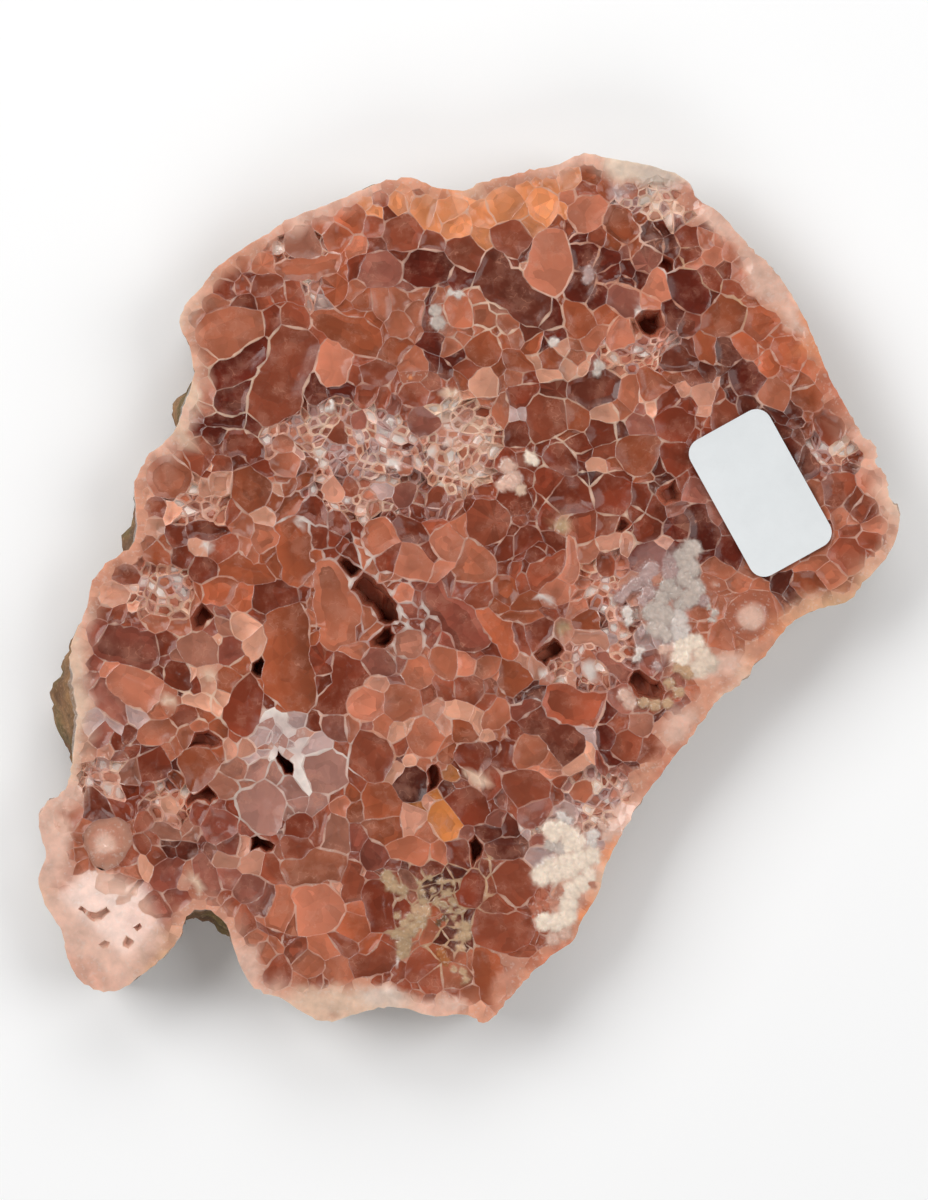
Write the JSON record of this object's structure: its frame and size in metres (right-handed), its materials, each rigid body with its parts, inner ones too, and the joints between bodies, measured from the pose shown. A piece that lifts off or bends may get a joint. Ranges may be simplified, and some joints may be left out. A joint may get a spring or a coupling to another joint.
{
  "type": "amethyst slice",
  "caption": "Sawn slice of pink amethyst with polished crystal mosaic face, open hollows, pale chalcedony rim, lumpy brown rind, flat back and a blank paper label",
  "frame": {"origin": "middle of the bounding box seen from above, on the plane of the sawn back", "axes": "+Z out of the polished face, +X to the right and +Y up when the face is looked at with the label at the right"},
  "size_m": [0.1216, 0.1224, 0.0126],
  "materials": {
    "stone": "polished terracotta-pink quartz crystals with pale borders, rough brown rind outside",
    "paper": "smooth white label paper, blank"
  },
  "bodies": {
    "root": {"slice": "stone", "sticker": "paper"}
  },
  "joints": []
}
